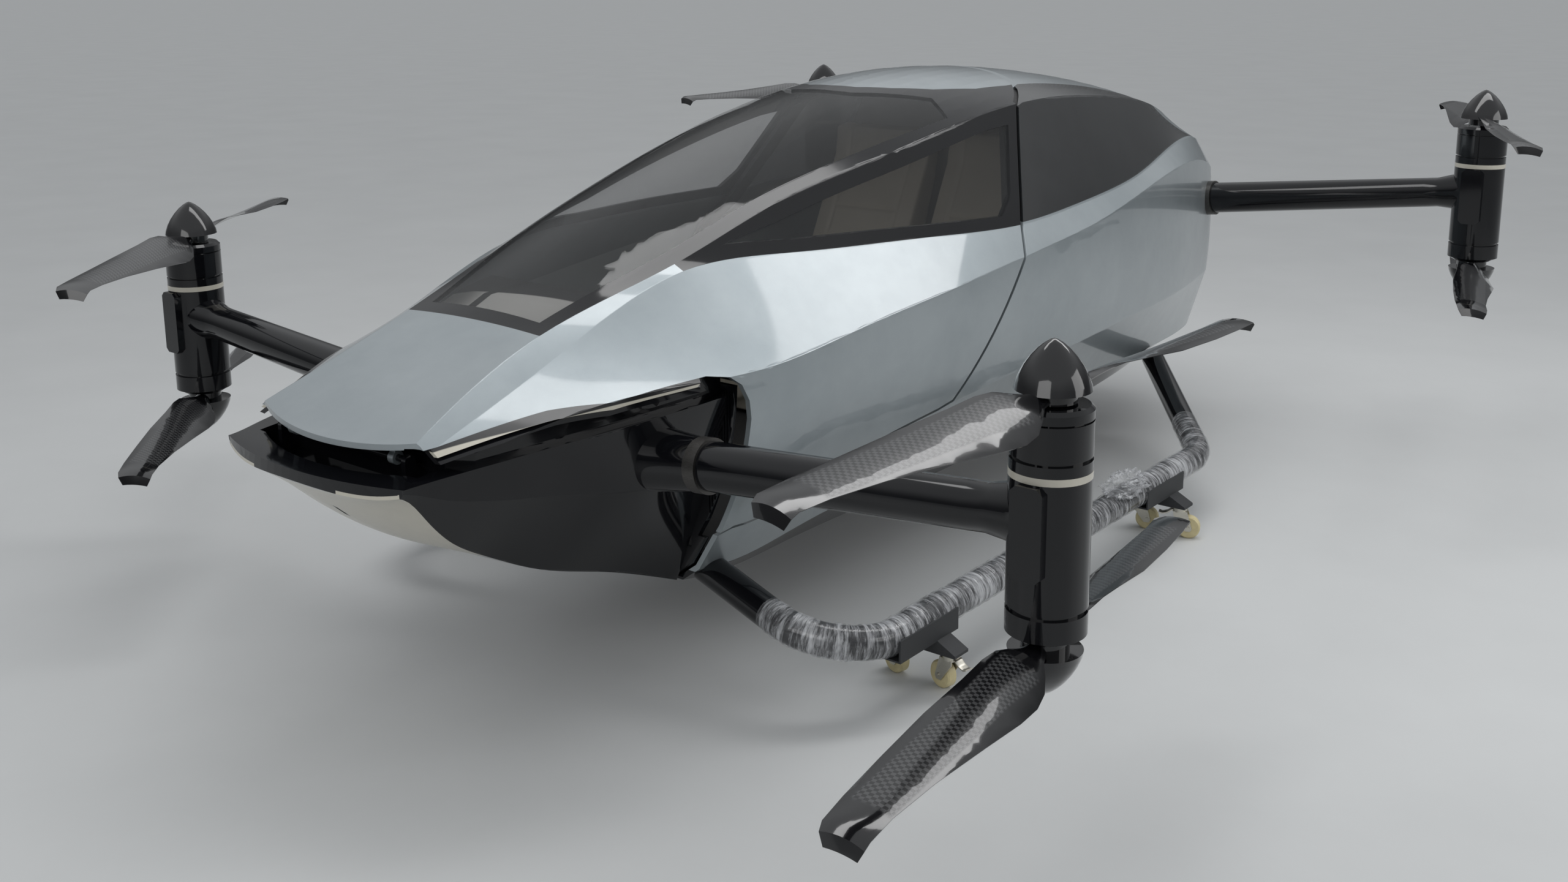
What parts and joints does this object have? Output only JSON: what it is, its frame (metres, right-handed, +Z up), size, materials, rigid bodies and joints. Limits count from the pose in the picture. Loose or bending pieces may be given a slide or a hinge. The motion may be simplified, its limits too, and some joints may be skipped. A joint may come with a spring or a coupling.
{
  "type": "flying car",
  "caption": "Small electric two-seat flying car with a canopy cabin, rotor pods on straight arms and skids standing in caster dollies.",
  "frame": {"origin": "on the floor, on the centre line, midway between the front and rear rotor pods", "axes": "+Z up, nose points to -Y, the vehicle's left side is +X"},
  "size_m": [4.0274, 4.9693, 1.5119],
  "materials": {
    "silver_paint": "metallic blue-grey silver paint, clear coat",
    "window_glass": "tinted polished glazing",
    "gloss_black": "gloss black lacquer over composite",
    "satin_black": "satin black",
    "cream_panel": "cream lacquer",
    "collar_metal": "dark bead-blasted metal",
    "seat_leather": "light beige leather",
    "battery_case": "plain sheet case",
    "skid_tube": "black tube wrapped in clear stretch film",
    "dolly_steel": "dark grey powder coat",
    "carbon_blade": "lacquered carbon twill with a gloss black spinner",
    "zinc_fork": "zinc plated pressed steel",
    "yellow_wheel": "amber cast urethane"
  },
  "bodies": {
    "root": {"arch_wall": "gloss_black", "arm_collars": "collar_metal", "arm_fairings": "gloss_black", "arm_front_left": "gloss_black", "arm_front_right": "gloss_black", "arm_rear_left": "gloss_black", "arm_rear_right": "gloss_black", "battery_block": "battery_case", "belly": "gloss_black", "bulkhead": "satin_black", "cabin_floor": "satin_black", "dashboard": "satin_black", "dollies_front": "dolly_steel", "dollies_rear": "dolly_steel", "door_frame": "satin_black", "lower_nose": "gloss_black", "nose_panel": "cream_panel", "pod_bands": "cream_panel", "quarter_windows": "window_glass", "rear_fuselage": "silver_paint", "seat_backs": "seat_leather", "seat_cushions": "seat_leather", "skid_left": "skid_tube", "skid_right": "skid_tube"},
    "canopy": {"side_panel_left": "silver_paint", "side_panel_right": "silver_paint", "hood": "silver_paint", "roof_panel_front": "silver_paint", "windscreen": "window_glass", "side_windows": "window_glass", "canopy_frame": "gloss_black", "light_strips": "cream_panel"},
    "rotor_front_left_upper": {"rotor_front_left_upper": "carbon_blade"},
    "rotor_front_left_lower": {"rotor_front_left_lower": "carbon_blade"},
    "rotor_front_right_upper": {"rotor_front_right_upper": "carbon_blade"},
    "rotor_front_right_lower": {"rotor_front_right_lower": "carbon_blade"},
    "rotor_rear_left_upper": {"rotor_rear_left_upper": "carbon_blade"},
    "rotor_rear_left_lower": {"rotor_rear_left_lower": "carbon_blade"},
    "rotor_rear_right_upper": {"rotor_rear_right_upper": "carbon_blade"},
    "rotor_rear_right_lower": {"rotor_rear_right_lower": "carbon_blade"},
    "caster_fork_front_left_inner": {"caster_fork_front_left_inner": "zinc_fork"},
    "caster_wheel_front_left_inner": {"caster_wheel_front_left_inner": "yellow_wheel"},
    "caster_fork_front_left_outer": {"caster_fork_front_left_outer": "zinc_fork"},
    "caster_wheel_front_left_outer": {"caster_wheel_front_left_outer": "yellow_wheel"},
    "caster_fork_front_right_inner": {"caster_fork_front_right_inner": "zinc_fork"},
    "caster_wheel_front_right_inner": {"caster_wheel_front_right_inner": "yellow_wheel"},
    "caster_fork_front_right_outer": {"caster_fork_front_right_outer": "zinc_fork"},
    "caster_wheel_front_right_outer": {"caster_wheel_front_right_outer": "yellow_wheel"},
    "caster_fork_rear_left_inner": {"caster_fork_rear_left_inner": "zinc_fork"},
    "caster_wheel_rear_left_inner": {"caster_wheel_rear_left_inner": "yellow_wheel"},
    "caster_fork_rear_left_outer": {"caster_fork_rear_left_outer": "zinc_fork"},
    "caster_wheel_rear_left_outer": {"caster_wheel_rear_left_outer": "yellow_wheel"},
    "caster_fork_rear_right_inner": {"caster_fork_rear_right_inner": "zinc_fork"},
    "caster_wheel_rear_right_inner": {"caster_wheel_rear_right_inner": "yellow_wheel"},
    "caster_fork_rear_right_outer": {"caster_fork_rear_right_outer": "zinc_fork"},
    "caster_wheel_rear_right_outer": {"caster_wheel_rear_right_outer": "yellow_wheel"}
  },
  "joints": [
    {"name": "canopy_tilt", "type": "hinge", "parent": "root", "child": "canopy", "pos_m": [0, -2.195, 0.766], "axis": [1, 0, 0], "range_deg": [0, 45]},
    {"name": "rotor_front_left_upper_spin", "type": "hinge", "parent": "root", "child": "rotor_front_left_upper", "pos_m": [1.544, -1.64, 0.8], "axis": [0, 0, 1], "continuous": true},
    {"name": "rotor_front_left_lower_spin", "type": "hinge", "parent": "root", "child": "rotor_front_left_lower", "pos_m": [1.544, -1.64, 0.8], "axis": [0, 0, 1], "continuous": true},
    {"name": "rotor_front_right_upper_spin", "type": "hinge", "parent": "root", "child": "rotor_front_right_upper", "pos_m": [-1.544, -1.64, 0.8], "axis": [0, 0, 1], "continuous": true},
    {"name": "rotor_front_right_lower_spin", "type": "hinge", "parent": "root", "child": "rotor_front_right_lower", "pos_m": [-1.544, -1.64, 0.8], "axis": [0, 0, 1], "continuous": true},
    {"name": "rotor_rear_left_upper_spin", "type": "hinge", "parent": "root", "child": "rotor_rear_left_upper", "pos_m": [1.485, 1.641, 1.075], "axis": [0, 0, 1], "continuous": true},
    {"name": "rotor_rear_left_lower_spin", "type": "hinge", "parent": "root", "child": "rotor_rear_left_lower", "pos_m": [1.485, 1.641, 1.075], "axis": [0, 0, 1], "continuous": true},
    {"name": "rotor_rear_right_upper_spin", "type": "hinge", "parent": "root", "child": "rotor_rear_right_upper", "pos_m": [-1.485, 1.641, 1.075], "axis": [0, 0, 1], "continuous": true},
    {"name": "rotor_rear_right_lower_spin", "type": "hinge", "parent": "root", "child": "rotor_rear_right_lower", "pos_m": [-1.485, 1.641, 1.075], "axis": [0, 0, 1], "continuous": true},
    {"name": "caster_swivel_front_left_inner", "type": "hinge", "parent": "root", "child": "caster_fork_front_left_inner", "pos_m": [0.832, -1.085, 0.1], "axis": [0, 0, 1], "continuous": true},
    {"name": "caster_roll_front_left_inner", "type": "hinge", "parent": "caster_fork_front_left_inner", "child": "caster_wheel_front_left_inner", "pos_m": [0.80302, -1.07723, 0.0375], "axis": [-0.2588, -0.9659, 0], "continuous": true},
    {"name": "caster_swivel_front_left_outer", "type": "hinge", "parent": "root", "child": "caster_fork_front_left_outer", "pos_m": [0.978, -1.085, 0.1], "axis": [0, 0, 1], "continuous": true},
    {"name": "caster_roll_front_left_outer", "type": "hinge", "parent": "caster_fork_front_left_outer", "child": "caster_wheel_front_left_outer", "pos_m": [0.94902, -1.07723, 0.0375], "axis": [-0.2588, -0.9659, 0], "continuous": true},
    {"name": "caster_swivel_front_right_inner", "type": "hinge", "parent": "root", "child": "caster_fork_front_right_inner", "pos_m": [-0.832, -1.085, 0.1], "axis": [0, 0, 1], "continuous": true},
    {"name": "caster_roll_front_right_inner", "type": "hinge", "parent": "caster_fork_front_right_inner", "child": "caster_wheel_front_right_inner", "pos_m": [-0.80302, -1.07723, 0.0375], "axis": [-0.2588, 0.9659, 0], "continuous": true},
    {"name": "caster_swivel_front_right_outer", "type": "hinge", "parent": "root", "child": "caster_fork_front_right_outer", "pos_m": [-0.978, -1.085, 0.1], "axis": [0, 0, 1], "continuous": true},
    {"name": "caster_roll_front_right_outer", "type": "hinge", "parent": "caster_fork_front_right_outer", "child": "caster_wheel_front_right_outer", "pos_m": [-0.94902, -1.07723, 0.0375], "axis": [-0.2588, 0.9659, 0], "continuous": true},
    {"name": "caster_swivel_rear_left_inner", "type": "hinge", "parent": "root", "child": "caster_fork_rear_left_inner", "pos_m": [0.832, 0.315, 0.1], "axis": [0, 0, 1], "continuous": true},
    {"name": "caster_roll_rear_left_inner", "type": "hinge", "parent": "caster_fork_rear_left_inner", "child": "caster_wheel_rear_left_inner", "pos_m": [0.86019, 0.32526, 0.0375], "axis": [-0.342, 0.9397, 0], "continuous": true},
    {"name": "caster_swivel_rear_left_outer", "type": "hinge", "parent": "root", "child": "caster_fork_rear_left_outer", "pos_m": [0.978, 0.315, 0.1], "axis": [0, 0, 1], "continuous": true},
    {"name": "caster_roll_rear_left_outer", "type": "hinge", "parent": "caster_fork_rear_left_outer", "child": "caster_wheel_rear_left_outer", "pos_m": [1.00619, 0.32526, 0.0375], "axis": [-0.342, 0.9397, 0], "continuous": true},
    {"name": "caster_swivel_rear_right_inner", "type": "hinge", "parent": "root", "child": "caster_fork_rear_right_inner", "pos_m": [-0.832, 0.315, 0.1], "axis": [0, 0, 1], "continuous": true},
    {"name": "caster_roll_rear_right_inner", "type": "hinge", "parent": "caster_fork_rear_right_inner", "child": "caster_wheel_rear_right_inner", "pos_m": [-0.86019, 0.32526, 0.0375], "axis": [-0.342, -0.9397, 0], "continuous": true},
    {"name": "caster_swivel_rear_right_outer", "type": "hinge", "parent": "root", "child": "caster_fork_rear_right_outer", "pos_m": [-0.978, 0.315, 0.1], "axis": [0, 0, 1], "continuous": true},
    {"name": "caster_roll_rear_right_outer", "type": "hinge", "parent": "caster_fork_rear_right_outer", "child": "caster_wheel_rear_right_outer", "pos_m": [-1.00619, 0.32526, 0.0375], "axis": [-0.342, -0.9397, 0], "continuous": true}
  ]
}
